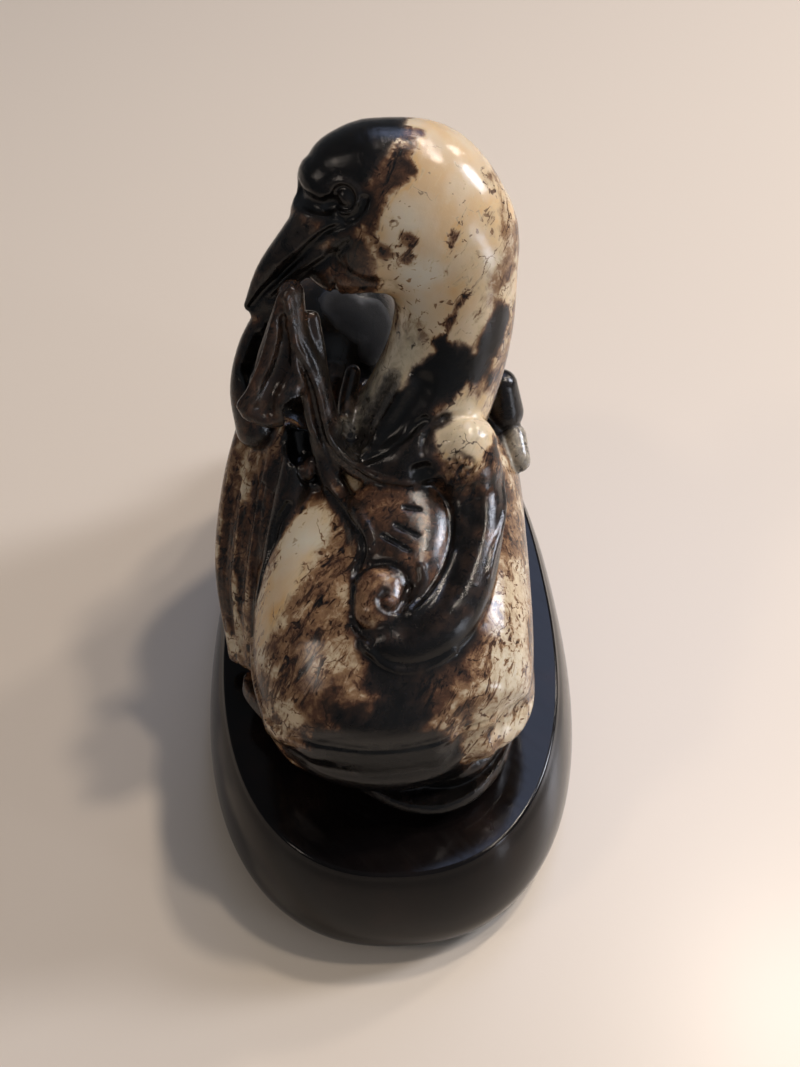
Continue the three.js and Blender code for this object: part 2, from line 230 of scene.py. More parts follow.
def join(part, away, fillet):
    """Melts a form into the stone there, with that fillet radius; away is the distance to the form."""
    old = gap[part]
    share = np.clip(0.5 + 0.5 * (old - away) / fillet, 0, 1)
    gap[part] = old + (away - old) * share - fillet * share * (1 - share)


def cut(part, away, fillet):
    """Takes a form out of the stone there, with that fillet radius."""
    old = gap[part]
    share = np.clip(0.5 + 0.5 * (-away - old) / fillet, 0, 1)
    gap[part] = old + (-away - old) * share + fillet * share * (1 - share)


def tint(part, share, dark, veined=None):
    """Moves the tone and the vein there towards the ones that are given."""
    if dark is not None:
        tone[part] += (dark - tone[part]) * share
    if veined is not None:
        vein[part] += (veined - vein[part]) * share


def add(form, fillet=0.8, dark=0.5, veined=0.4):
    """Melts a form into the stone and mixes its tone and vein into the stone's, in ragged patches."""
    part, low = window(form[0], FAR)
    away = distance(form, part, low)
    join(part, away, fillet)
    raggedness, fade = 0.6, 0.8
    tint(part, np.clip(0.5 + (gap[part] - away + raggedness * ragged[part]) / fade, 0, 1), dark, veined)


def carve(form, fillet=0.25, dark=None):
    """Cuts a form out of the stone, and darkens what it bares."""
    part, low = window(form[0], FAR)
    away = distance(form, part, low)
    cut(part, away, fillet)
    all_dark, fade = 0.1, 0.7
    tint(part, np.clip(1 + (all_dark - away) / fade, 0, 1), dark)


def stain(path, dark, soft, veined, uneven):
    """Tints the stone round a path of (x, y, z, radius), with a ragged edge that fades over soft mm."""
    rows = np.array(path, float)
    part, low = window(rows[:, :3], rows[:, 3].max() + soft + STAIN_MARGIN)
    steps = max(1, int(np.sum(np.linalg.norm(np.diff(rows[:, :3], axis=0), axis=1))))
    line = np.array([along(rows, i / steps) for i in range(steps + 1)])
    away = swept(line[:, :3], line[:, 3], part, low) + uneven * ragged[part]
    share = np.clip(0.5 - away / (2 * soft), 0, 1)
    tint(part, share * share * (3 - 2 * share), dark, veined)


def swept(points, radii, part, low):
    """Distance to a ball drawn along a line of points, at each voxel of that part of the grid."""
    away = np.full([s.stop - s.start for s in part], FAR, np.float32)
    reach = radii.max() + SWEPT_MARGIN
    for a, b, first, last in zip(points, points[1:], radii, radii[1:]):
        near, _ = window(np.array([a, b]), reach)
        near = tuple(slice(max(s.start, p.start), min(s.stop, p.stop)) for s, p in zip(near, part))
        inside = tuple(slice(s.start - o, s.stop - o) for s, o in zip(near, low))
        axes = [STONE_LOW[k] + VOXEL * np.arange(near[k].start, near[k].stop) - a[k] for k in range(3)]
        x, y, z = np.meshgrid(*axes, indexing="ij", sparse=True)
        step = b - a
        share = np.clip((x * step[0] + y * step[1] + z * step[2]) / max(step @ step, 1e-9), 0, 1)
        x, y, z = x - share * step[0], y - share * step[1], z - share * step[2]
        new = np.sqrt(x * x + y * y + z * z) - (first + (last - first) * share)
        away[inside] = np.minimum(away[inside], new)
    return away


def normals(points):
    """Directions straight out of the stone at points."""
    step = 1.5 * VOXEL
    slopes = [sample(gap, points + step * axis) - sample(gap, points - step * axis) for axis in np.eye(3)]
    out = np.stack(slopes, 1)
    return out / np.maximum(np.linalg.norm(out, axis=1, keepdims=True), 1e-6)


def laid(path, width):
    """A smooth line laid onto the stone through (x, y, z) or (x, y, z, half width), and its half widths."""
    rows = np.array([(*row, width) if len(row) == 3 else row for row in path], float)
    length = np.sum(np.linalg.norm(np.diff(rows[:, :3], axis=0), axis=1))
    count = max(2, int(round(length / STROKE_PACE)))
    line = np.array([along(rows, i / count) for i in range(count + 1)])
    points = line[:, :3]
    for _ in range(LAYING_STEPS):
        points = points - sample(gap, points)[:, None] * normals(points)
    return points, line[:, 3]


def groove(path, depth, width=None, fillet=0.25, dark=None, soft=0.6):
    """Cuts a round-bottomed groove of that depth and half width along a path."""
    points, radii = laid(path, width)
    points = points + normals(points) * (radii - depth)[:, None]
    part, low = window(points, radii.max() + STROKE_MARGIN)
    away = swept(points, radii, part, low)
    cut(part, away, fillet)
    tint(part, np.clip(1 - away / soft, 0, 1), dark)


def ridge(path, height, width=None, fillet=0.4, dark=None):
    """Raises a rounded ridge of that height and half width along a path."""
    points, radii = laid(path, width)
    points = points + normals(points) * (height - radii)[:, None]
    part, low = window(points, radii.max() + STROKE_MARGIN)
    away = swept(points, radii, part, low)
    join(part, away, fillet)
    most, fade = 0.8, 0.6
    tint(part, np.clip(most - away / fade, 0, 1), dark)


def sample(field, points):
    """The field's value at points, by the eight voxels round each."""
    place = np.clip((points - STONE_LOW) / VOXEL, 0, GRID - 1.001)
    base = np.floor(place).astype(int)
    t = (place - base).astype(np.float32)
    value = np.zeros(len(points), np.float32)
    for corner in range(8):
        offset = np.array([corner & 1, corner >> 1 & 1, corner >> 2 & 1])
        weight = np.prod(np.where(offset, t, 1 - t), axis=1)
        i, j, k = (base + offset).T
        value += weight * field[i, j, k]
    return value


# The goose's forms

BODY_FULLNESS = 2.5
BODY = [
    (-0.3, -30.4, 25.6, 11.9, 7.6), (-0.5, -28.4, 26.6, 14.7, 9.8), (-0.5, -24.5, 27.6, 15.9, 11.4),
    (-0.4, -17.5, 28.6, 16.3, 12.8), (0, -8, 29.4, 16.2, 13.8), (0, 4, 30, 16.2, 14.6), (-1, 16, 30, 15, 14),
    (-1, 26, 28, 10, 9.5),
]


def back_height(x, y):
    """Height of the body's back over a place, so that what is carved on it follows it."""
    i = next((k for k, row in enumerate(BODY) if row[1] >= y and k > 0), len(BODY) - 1)
    near, far = np.array(BODY[i - 1]), np.array(BODY[i])
    middle, _, height, wide, thick = near + (far - near) * (y - near[1]) / (far[1] - near[1])
    out = min(0.98, abs(x - middle) / wide)
    return height + thick * (1 - out ** BODY_FULLNESS) ** (1 / BODY_FULLNESS)


def on_back(stations):
    return [(x, y, back_height(x, y) + rise, *size) for x, y, rise, *size in stations]


def shape_body():
    add(limb(BODY, sides=72, power=BODY_FULLNESS, blunt=0.2), 0.5, dark=0.2, veined=0.8)
    foot = [(-13, -24.4, 20.6, 2.4, 3.6), (-9, -27.2, 21.4, 3.6, 4.8), (-4, -29.4, 22.4, 4.4, 5.2),
            (0.6, -30.2, 22.4, 4.4, 5.2), (5, -30.2, 21.2, 3.2, 3.8)]
    add(limb(foot, facing=FRONT_UP, sides=32), 4, dark=0.5, veined=0.8)
    apron = [(-11, -29.6, 22.4, 2, 2), (-7, -31.6, 24.4, 3.4, 2.6), (-2, -32.2, 25, 4, 2.8),
             (3, -32, 25.6, 3.4, 2.4), (7, -31, 26, 2, 1.6)]
    add(limb(apron, facing=FRONT_UP, sides=32), 3, dark=0.86, veined=0.5)
    brow = [(-9, -32.2, 28.4, 2.4, 1.6), (-3, -32.8, 29, 3, 1.9), (3, -32.6, 29, 2.6, 1.6)]
    add(limb(brow, facing=FRONT_UP, sides=32), 2.4, dark=0.8, veined=0.5)
    chest = [(-8, -32, 31, 1.8, 1.7), (-3.4, -32.8, 31.5, 2.4, 2.3), (0, -32.8, 31.4, 2.4, 2.2),
             (4, -32, 31, 1.8, 1.7)]
    add(limb(chest, facing=FRONT_UP, sides=32), 2, dark=0.8, veined=0.5)
    haunch = [(11.4, -19, 25, 3, 4.4), (10.7, -26.6, 24.8, 3.1, 4.6), (7.6, -30.2, 25, 2.6, 4)]
    add(limb(haunch, across=Z_AXIS, sides=32), 1.5, dark=0.15, veined=0.6)
    hump = [(-8, 8.5, 43.6, 7, 6.6), (-7, 14.5, 46.2, 8.4, 8), (-1.4, 25, 38, 7, 6)]
    add(limb(hump, sides=48), 1.5, dark=0.93, veined=0.5)


def shape_neck_and_head():
    neck = [
        (-0.6, -3.6, 38, 9, 7.6), (1.8, -1.2, 43, 8.8, 7.6), (4.4, 0.4, 48, 8, 7.2), (6.6, 2.4, 54, 7, 6.8),
        (7.4, 4.8, 60.5, 6.7), (6.9, 7.2, 66.2, 6.7), (3.8, 8.8, 70.6, 6.6), (-1.5, 8.6, 71.4, 6),
    ]
    add(limb(neck, across=NECK_ACROSS, sides=56), 1.0, dark=0.06, veined=0.3)
    cheeks = [
        (7, 6.2, 64.4, 7.4, 5.8), (3.4, 6, 67.4, 7.8, 6.6), (-0.6, 5.9, 68.2, 7.5, 6.2),
        (-4, 5.8, 68.6, 6.6, 5), (-6.8, 5.6, 69.2, 4, 3.6),
    ]
    add(limb(cheeks, across=CROWN_UP, sides=48), 2.2, dark=0.1, veined=0.4)
    throat = [(-8.2, 3.6, 65, 1.6), (-5.6, 3, 63.9, 2.3), (-2.6, 2.8, 64.8, 2.4)]
    add(limb(throat, sides=28), 1.5, dark=0.7, veined=0.5)
    knob = [
        (2.5, 8.8, 73.2, 4.2, 4.6), (-1.6, 8.4, 73.6, 4.4, 5), (-4.8, 7.8, 72.8, 4.2, 4.6),
        (-6.6, 7.2, 72, 3.4, 3.8),
    ]
    add(limb(knob, across=CROWN_UP, sides=40, blunt=0.8), 0.9, dark=0.93, veined=0.2)
    upper = [(-6.4, 5.2, 70.6, 2.6, 2.8), (-9.9, 4, 67.4, 1.9, 2.3), (-13.1, 3.1, 64, 1.3, 1.5),
             (-15.4, 2.4, 60.2, 0.6, 0.6)]
    lower = [(-4.6, 4.4, 67.4, 2.4, 2.8), (-8.3, 3.8, 65.4, 1.6, 2.2), (-11.9, 3, 62.5, 1.1, 1.4),
             (-14.9, 2.3, 59.6, 0.5, 0.5)]
    add(limb(lower, across=CROWN_UP), 0.5, dark=0.95, veined=0.1)
    add(limb(upper, across=CROWN_UP), 0.3, dark=0.95, veined=0.1)


def shape_held_leaf():
    front = [(-10.6, -0.8, 64, 1.4, 1.2), (-11.5, -2.2, 59.6, 2.2, 1.4), (-12.6, -4, 55, 3.2, 1.7),
             (-13.2, -5, 53.6, 3.6, 2), (-13.3, -5.7, 51.9, 3, 1.7)]
    back = [(-11.6, 3, 62.6, 1.5, 1.5), (-13.2, 2.4, 58.8, 1.8, 1.6), (-15.2, 1, 55, 2, 1.8),
            (-16.2, -0.8, 51, 2.1, 2), (-15.6, -2.4, 46.4, 2.4, 2.4)]
    rim = [(-10.7, -1.4, 64.3, 0.8), (-12.1, -3, 61, 0.8), (-13.4, -4.6, 57.2, 0.9), (-15, -5.8, 54.6, 1),
           (-15.8, -6.5, 53, 1), (-13.6, -7.1, 51.9, 0.9)]
    across = np.array([0.9, -0.45, 0])
    add(limb(back, across=across), 1.0, dark=0.82, veined=0.5)
    add(limb(front, across=across), 0.8, dark=0.74, veined=0.6)
    add(limb(rim, sides=16), 0.5, dark=0.62, veined=0.5)


def shape_stem():
    main = [(-10.4, -1, 64.4, 1.3, 1.3), (-10, -2.2, 60, 1.2, 1.3), (-8.5, -3.2, 56, 1.2, 1.4),
            (-7.5, -4.4, 51.2, 1.3, 1.5), (-6.4, -6, 46.2, 1.3, 1.4),
            *on_back([(-3.4, -8.8, 2.4, 1.2, 1.3), (-0.6, -10.4, 3, 1.1, 1.2), (2.8, -10.4, 3, 1, 1.1)])]
    left = [(-10.8, -1.2, 63.5, 1.2, 1.2), (-10.5, -2.8, 57.8, 1.2, 1.3), (-9.8, -3.8, 54.2, 1.2, 1.3),
            (-9.1, -5, 49.6, 1.2, 1.3), (-8.2, -6.2, 45, 1.3, 1.4),
            *on_back([(-6.4, -9.4, 0, 1.4, 1.4), (-4.6, -13.4, 0, 1.2, 1.3), (-3.8, -17.4, -0.2, 1, 1.1)])]
    root = [(-4.4, 1.6, 51, 1, 1.2), (-5.2, -0.8, 48.4, 1.1, 1.3), (-5, -4, 46, 1.2, 1.4)]
    web = [(-9.2, -1, 61, 1.6, 0.8), (-8.6, -2.6, 56.4, 1.6, 0.8), (-7.6, -4.2, 50.6, 1.2, 0.8),
           (-6.8, -5.8, 46, 1.4, 1)]
    boss = on_back([(-9.2, -5.4, 0.3, 1.3, 1.2), (-8.9, -7.2, 0.2, 1.2, 1.1)])
    add(limb(web, sides=16), 0.8, dark=0.76, veined=0.5)
    add(limb(root, sides=16), 0.8, dark=0.74, veined=0.4)
    add(limb(left, facing=FRONT_UP, sides=20, power=1.6), 0.5, dark=0.74, veined=0.5)
    add(limb(main, facing=FRONT_UP, sides=20, power=1.6), 0.4, dark=0.76, veined=0.5)
    add(limb(boss, facing=FRONT_UP, sides=20), 0.4, dark=0.62, veined=0.5)


def shape_scroll_wing():
    web = on_back([(0.2, -11, 0.9, 5, 2.4), (0.5, -14.5, 0.4, 5.8, 2.4), (1, -19, 0, 4.7, 2.4),
                   (1.2, -22, -0.4, 4, 2.2)])
    root = [(-2.6, -8.8, 46.6, 1.4, 1.2), (0.8, -9.1, 47.3, 2.8, 1.8), (4.2, -8.5, 47.7, 3.2, 2),
            (7.6, -7.4, 47.6, 3, 1.8)]
    comma = on_back([(8.4, -9.4, 1.6, 3.9, 3.6), (9, -12.4, 1.2, 3.4, 3.2), (8.6, -17, 0.6, 3, 2.8),
                     (6.8, -22.4, 0.5, 3.1, 2.6), (4.3, -25.4, 0.6, 3.4, 2.6), (1.2, -26.8, 0.6, 3.3, 2.4),
                     (-1.4, -27.2, 0.7, 2.6, 2), (-3.2, -27.4, 0.8, 1.3, 1.4)])
    scroll = on_back([(-2, -21.6, 0.5, 3.1, 2.3), (-2.1, -24.4, 0.6, 3, 2.2)])
    tip = [(7.7, -7.2, 47.2, 4.1, 4), (8.1, -8.6, 45.4, 4.2, 4)]
    add(limb(web, sides=40), 0.9, dark=0.66, veined=0.7)
    add(limb(root, facing=FRONT_UP, sides=28), 1.2, dark=0.86, veined=0.3)
    add(limb(scroll, facing=FRONT_UP, sides=32), 0.4, dark=0.3, veined=0.5)
    add(limb(comma, facing=FRONT_UP, sides=28), 0.5, dark=1.05, veined=0.1)
    add(limb(tip, sides=40), 0.8, dark=0.12, veined=0.5)


def shape_hanging_wing():
    outer = [(-16, 2, 45, 1.8, 2), (-18.4, -3, 38, 2, 2.2), (-19.8, -8, 29.8, 2.1, 2),
             (-19.6, -14.2, 19.2, 1.4, 1.4)]
    inner = [(-10.4, -4.4, 45.4, 2, 2.2), (-12, -8.4, 40, 2.2, 2.4), (-14.2, -12.6, 31.6, 2.4, 2.4),
             (-16, -17.2, 20.8, 1.7, 1.7)]
    shoulder = [(-12.5, 2, 39.5, 4.5, 5), (-14.6, -4, 33, 4, 4.5), (-14.8, -9, 26, 3.2, 3.5)]
    add(limb(shoulder, sides=32), 1.5, dark=0.7, veined=0.8)
    feathers = 4
    for i in range(feathers):
        feather = limb(between(outer, inner, i / (feathers - 1)), sides=24)
        add(feather, 0.35, dark=(0.14, 0.2, 0.36, 0.78)[i], veined=0.8)


def shape_back():
    top = [(11.4, 8, 40, 2.4, 2.2), (10.6, 18, 37.6, 2.8, 2.4), (5.4, 30, 32.6, 1.3, 1.2)]
    low = [(14.8, 6, 28, 2.4, 2.2), (13.4, 17, 27.4, 2.8, 2.4), (7.4, 28, 26, 1.3, 1.2)]
    rows = 3
    for side in (-1, 1):
        for i in range(rows):
            row = [(side * x, *rest) for x, *rest in between(top, low, i / (rows - 1))]
            add(limb(row, across=Z_AXIS, sides=24), 0.5, dark=0.5 + 0.15 * i, veined=0.8)
    fan = 5
    root_spread, spread, shortening, sag = 3.2, 2.4, 1.2, 1.6
    middle = [(20, 33, 2.6, 2.4), (28, 30.6, 2.8, 1.8), (34.4, 28, 1.5, 0.9)]
    for i in range(fan):
        turn = 2 * i / (fan - 1) - 1
        droop = turn * turn
        feather = [(turn * (root_spread + spread * k), y - shortening * k * droop, z - sag * droop, *size)
                   for k, (y, z, *size) in enumerate(middle)]
        add(limb(feather, sides=24), 0.4, dark=0.75, veined=0.7)


def shape_bud():
    upper = [(13.6, 6.6, 44.2, 2, 2.2), (14, 5.6, 40.8, 2.5, 2.6)]
    lower = [(15.1, 3.4, 38.6, 1.7, 1.7), (15.6, 0.6, 37.2, 1.5, 1.6)]
    add(limb(upper, sides=32), 0.5, dark=0.86, veined=0)
    add(limb(lower, sides=32), 0.3, dark=0.36, veined=0.3)


def shape_leaf_dish():
    """The curled leaf below the goose: a dish with a raised tip on the beak side, and its folded edge."""
    outline = np.array([  # x, y, and the rim's height as a share
        (15.4, -10, 1), (15, -22, 1.15), (13.4, -28.5, 1.2), (11.4, -32.6, 1.05), (7.8, -36, 0.9),
        (4, -37.2, 0.8), (-0.5, -36.4, 0.8), (-5.9, -33, 0.85), (-12.9, -27.6, 1.1), (-17, -24, 1.35),
        (-18.8, -20.6, 1.5), (-16.2, -17, 1.2), (-15.2, -8, 1), (-15.2, 6, 0.9), (-14.4, 20, 1),
        (-9.6, 32, 1.1), (0, 36, 1), (9.6, 32, 1.1), (14.4, 20, 1), (15.3, 6, 0.9)])
    levels = [(2.8, 0), (0.9, 1.4), (0, 3.2), (0.5, 4.4), (2, 4), (5, 3.4)]  # inset and height
    sides = 160
    count = len(outline)
    wrapped = np.concatenate([outline[-2:], outline, outline[:3]])
    edge = np.array([along(wrapped, (2 + count * i / sides) / (count + 4)) for i in range(sides)])[::-1]
    reach = np.hypot(edge[:, 0], edge[:, 1])
    rings = [np.stack([edge[:, 0] * (1 - inset / reach), edge[:, 1] * (1 - inset / reach),
                       STAND_HEIGHT + z * edge[:, 2]], 1) for inset, z in levels]
    add(closed(rings), 0.6, dark=0.88, veined=0.2)
    fold = [(-1.6, -30.4, 20.8, 0.9, 1.1), (1.5, -32, 20.2, 1.2, 1.4), (5, -32.8, 20, 1.4, 1.7),
            (8.4, -31.6, 20.4, 1.4, 1.7), (11, -29, 21, 1.2, 1.5), (13, -25.4, 21.8, 0.9, 1.1)]
    add(limb(fold, facing=FRONT_UP, sides=24), 0.4, dark=0.72, veined=0.3)


def saw_flat():
    """Cuts the stone off flat where it rests on the stand."""
    z = STONE_LOW[2] + np.arange(GRID[2], dtype=np.float32) * VOXEL
    np.maximum(gap, STAND_HEIGHT - z, out=gap)


shape_body()
shape_leaf_dish()
shape_back()
shape_hanging_wing()
shape_neck_and_head()
shape_scroll_wing()
shape_held_leaf()
shape_stem()
shape_bud()

# The carver's grooves and ridges


def ring_round(centre, radius, count=12):
    """Points of a ring on the surface round a centre."""
    centre = np.array(centre, float)
    out = normals(centre[None])[0]
    side = unit(np.cross(out, Z_AXIS))
    up = np.cross(out, side)
    turns = np.arange(count + 1) * 2 * np.pi / count
    return [centre + radius * (np.cos(t) * side + np.sin(t) * up) for t in turns]


def carve_head():
    eye = (-4.7, 3.0, 73.0)
    groove([eye, (-4.6, 2.9, 72.9)], 0.7, 1.9, fillet=0.5, dark=0.93)
    ridge([eye, (-4.65, 2.95, 72.95)], 0.75, 1.0, fillet=0.2, dark=0.8)
    ridge(ring_round(eye, 1.65), 0.32, 0.35, fillet=0.2, dark=0.72)
    lids = [(-6.2, 3.1, 72.2), (-5.4, 2.4, 71.2), (-4.1, 1.9, 71.3), (-3.0, 2.0, 72.1), (-2.5, 2.3, 73.2)]
    groove(lids, 0.45, 0.5, dark=0.95)
    mouth = [(-4.7, 1.9, 70.9), (-6.8, 2, 69.5), (-9.2, 2.1, 67), (-11.2, 2, 64.8), (-13.4, 1.7, 62.7),
             (-15.2, 1.8, 60.4)]
    groove(mouth, 0.4, 0.35, dark=1)
    bill_edge = [(-5.1, 1.9, 70.9), (-7.4, 2, 69.8), (-9.7, 1.8, 67.9), (-11.8, 1.7, 66)]
    ridge(bill_edge, 0.22, 0.4, fillet=0.2)
    under = [(-4.5, 1, 68.8), (-5.6, 1.4, 67.5), (-8.2, 1.8, 65.4), (-10, 1.7, 64.2), (-12.9, 1.4, 61.7)]
    groove(under, 0.3, 0.4, dark=0.95)
    cap_edge = [(-9.4, 6.4, 72), (-9, 5.2, 71.8), (-8, 4, 71.7), (-6.8, 3.2, 71.8), (-6, 3, 72.2)]
    groove(cap_edge, 0.8, 0.9, fillet=0.4, dark=0.95)
    throat = [(-5.9, 1.5, 66.8), (-4.6, 0.7, 65.4), (-2.4, -0.3, 64.6), (-0.2, -0.7, 64.3)]
    groove(throat, 0.2, 0.7, fillet=0.6)


def carve_neck():
    fold = [(1.4, -4.4, 54), (0.7, -4.7, 52.5), (-1.1, -6, 49.5), (-2.9, -7.8, 47.6)]
    ridge(fold, 0.45, 1.0, fillet=0.9)
    valley = [(3.4, -4.6, 54.4), (1.2, -6.2, 51), (-1.2, -7.9, 48.8), (-2.7, -8.6, 47.6)]
    groove(valley, 0.4, 1.3, fillet=0.8)
    crease = [(-3.1, -9, 47.6), (-1.1, -8.7, 48.8), (0.6, -8.1, 49.7), (2.1, -7.2, 50.5), (3.5, -6.8, 51.2)]
    groove(crease, 0.45, 0.5, dark=0.95)


def carve_held_leaf():
    hollow = [(-14.3, 0, 57.2, 1.0), (-15.3, -1, 55.1, 1.5), (-16, -3.8, 54.1, 1.3)]
    groove(hollow, 0.8, fillet=0.6, dark=0.95)
    vein_line = [(-13.4, 0.7, 58.8), (-14.4, -0.3, 56.3), (-15.8, -1.7, 53.8), (-16.3, -4.7, 53.4)]
    groove(vein_line, 0.25, 0.3, dark=1)
    rim = [(-10.3, -1.9, 65.3), (-11.6, -1.9, 64.2), (-12.3, -2.8, 62.5), (-13.2, -4, 60.3),
           (-14.2, -4.9, 57.9), (-15.4, -6.3, 55.5), (-16.6, -6.7, 53.7)]
    ridge(rim, 0.35, 0.45, fillet=0.25, dark=0.6)
    side = [(-11.3, -3, 62.3, 0.6), (-11.1, -3.7, 60, 0.9), (-11.8, -4.8, 57.7, 1.0),
            (-12.9, -5.7, 55.6, 1.0), (-13.5, -7.1, 53.5, 0.8)]
    groove(side, 0.5, fillet=0.5, dark=0.66)
    behind = [(-11, -5.4, 53.5, 1.1, 2.4), (-11, -5.2, 48.5, 1.5, 2.6), (-10.6, -5.8, 45.5, 1.3, 1.8)]
    carve(limb(behind, sides=20), 0.5, dark=0.98)


def carve_cords():
    main = [(-10.9, -2.2, 64.7), (-10.6, -3.2, 61.7), (-10.1, -3.8, 59.4), (-8.9, -4.3, 56.5),
            (-8.1, -5, 54.2), (-7.5, -5.9, 50.7), (-6.9, -6.6, 48.1), (-5.6, -7.6, 46.7), (-3.5, -9.7, 46.6),
            (-1.2, -11.2, 46.4), (1.7, -11.5, 46.2)]
    ridge(main, 0.42, 0.36, fillet=0.18, dark=0.62)
    left = [(-11, -3.1, 61.7), (-10.6, -4.1, 59), (-10.2, -4.9, 56.7), (-9.6, -5.2, 53.9), (-9.3, -5.9, 50.8),
            (-8.6, -6.5, 48.5), (-7.3, -7.2, 45.5)]
    ridge(left, 0.3, 0.4, fillet=0.25, dark=0.62)
    root = [(-4.4, 1, 51.9), (-5.2, -1.3, 49.6), (-5.4, -5.7, 48.9)]
    ridge(root, 0.12, 0.6, fillet=0.5)
    boss = (-9.4, -7.2, 44.2)
    groove(ring_round(boss, 1.35), 0.4, 0.45, dark=0.95)
    knot = [(-9.3, -6.8, 44.9, 0.6), (-9.4, -7.2, 44.2, 0.85), (-9.5, -7.8, 43.4, 0.5)]
    ridge(knot, 0.5, fillet=0.2, dark=0.5)
    leaflet = [(-6.5, -7.4, 44.9), (-5.4, -9.9, 43.2), (-3.9, -14.4, 44), (-2.9, -16.8, 43.6),
               (-2.9, -18.4, 42.9)]
    ridge(leaflet, 0.3, 0.5, fillet=0.5, dark=0.66)
    border = [(-7.7, -9.4, 43), (-6.5, -11.3, 42.9), (-5.2, -13.8, 43), (-4.1, -16.3, 43.2),
              (-3.6, -18.1, 42.6), (-4.3, -19.4, 41), (-4.9, -22, 41.1)]
    groove(border, 0.34, 0.34, dark=0.8)


def carve_scroll():
    top = [(3.2, -9.4, 48.4), (3.5, -8.3, 50.1), (4.2, -7.3, 50.7), (5.7, -6.7, 51.2)]
    groove(top, 0.3, 0.4, dark=0.7)
    top_end = [(5.7, -6.7, 51.2), (7.6, -6.4, 51.2), (9.7, -5.9, 50.4)]
    groove(top_end, 0.3, 0.4)
    hole = [(2.6, -11, 47.4), (3.4, -10.9, 47.6)]
    groove(hole, 0.7, 0.9, fillet=0.6, dark=1)
    flange = [(12.2, -8.6, 45), (12.1, -11.1, 43.4), (11.7, -14.5, 42.7), (10.6, -18, 42.3),
              (9.8, -21.1, 41.6)]
    ridge(flange, 0.3, 0.4, fillet=0.4)
    flute = [(8.6, -13, 44.4, 1.2), (8.3, -15.9, 43.5, 1.7), (6.7, -20, 42.6, 1.8), (4.8, -23.7, 41.9, 1.8),
             (2.8, -26.2, 41.2, 1.6), (0.5, -27.6, 40.3, 1.2)]
    groove(flute, 0.3, fillet=1)
    lip = [(-3.1, -28.7, 38.3), (-1.8, -29.5, 37.3), (-0.1, -30.1, 36.9), (1.8, -30.1, 36.9),
           (3.8, -29.5, 37.2), (5.8, -28.4, 37.7)]
    ridge(lip, 0.4, 0.5, fillet=0.3)
    inner = [(2.6, -20.7, 42.5), (2.7, -22, 41.7), (2, -23.6, 41), (1, -25.2, 40.8)]
    ridge(inner, 0.4, 0.45, fillet=0.3, dark=0.75)
    outer = [(6.1, -18.6, 42.3), (4.7, -21.6, 41.6), (2.8, -24.7, 41.4), (1.4, -25.9, 41)]
    ridge(outer, 0.3, 0.4, fillet=0.3)
    rim = [(-3.1, -27.9, 39.1), (-4.5, -25.9, 38.9), (-5, -24.4, 40.1), (-4.9, -22.3, 41.1), (-4, -21, 42.1),
           (-2.6, -20, 42.2), (-0.9, -20.3, 42.7), (0.6, -21.3, 42.4), (1.2, -22.6, 41.6)]
    groove(rim, 0.3, 0.34, dark=0.76)
    curl = [(1.2, -22.6, 41.6), (0.5, -24.2, 40.9), (-0.5, -25.5, 41.1), (-1.5, -25.4, 41.5),
            (-1.9, -24.5, 41.9), (-1.4, -23.7, 42.1)]
    groove(curl, 0.4, 0.36, dark=0.72)
    ridge([(-1, -24.7, 41.6), (-0.9, -24.6, 41.6)], 0.3, 0.8, fillet=0.2, dark=0.45)
    marks = [[(1, -14.1, 45), (2.6, -14.3, 44.8)], [(-0.1, -16, 44.4), (1, -16.7, 44.2), (2.4, -17.3, 43.9)],
             [(-1.5, -17.1, 43.8), (0, -18.2, 43.7), (1.4, -19.1, 43.4)]]
    for mark in marks:
        groove(mark, 0.32, 0.2, fillet=0.08, dark=1, soft=0.3)
    flower = np.array([7.1, -11.4, 48.1])
    petals, first_turn, across, lean = 5, 0.4, 0.95, 0.3
    for i in range(petals):
        turn = 2 * np.pi * i / petals + first_turn
        middle = flower + (across * np.cos(turn), lean * np.sin(turn), across * np.sin(turn))
        groove(ring_round(middle, 0.72, count=8), 0.2, 0.2, fillet=0.1, dark=0.4, soft=0.3)


def carve_hanging_wing():
    outer = [(-17.6, -1.8, 43.2), (-19.1, -4.9, 38.9), (-20, -7.9, 33.9), (-20.8, -10.9, 27.8),
             (-20.6, -13.3, 22.6)]
    inner = [(-13.4, -5.1, 44.9), (-14.4, -7.9, 41.5), (-15.1, -10.1, 38.1), (-16, -13.4, 31),
             (-16.6, -16, 24)]
    barbs, start, spread = 11, -0.1, 1.15
    chance = np.random.default_rng(4)
    for i in range(barbs):
        share = start + spread * (i + chance.uniform(-0.25, 0.25)) / (barbs - 1)
        first, last = chance.uniform(0, 0.35), chance.uniform(0.6, 1)
        line = np.array(between(outer, inner, share))
        line = [along(line, first + (last - first) * k / 5) for k in range(6)]
        depth = chance.uniform(0.12, 0.34)
        groove(line, depth, 0.2 + depth / 3, fillet=0.15, dark=0.55, soft=0.3)
    edge = [(-12.1, -10.2, 41.6), (-13.6, -11.2, 39.3), (-14.6, -13.6, 36.1), (-15.5, -16.9, 33),
            (-16.7, -16.1, 26.1), (-16.9, -18.5, 23)]
    groove(edge, 0.5, 0.5, dark=0.85)


# The jade's colours

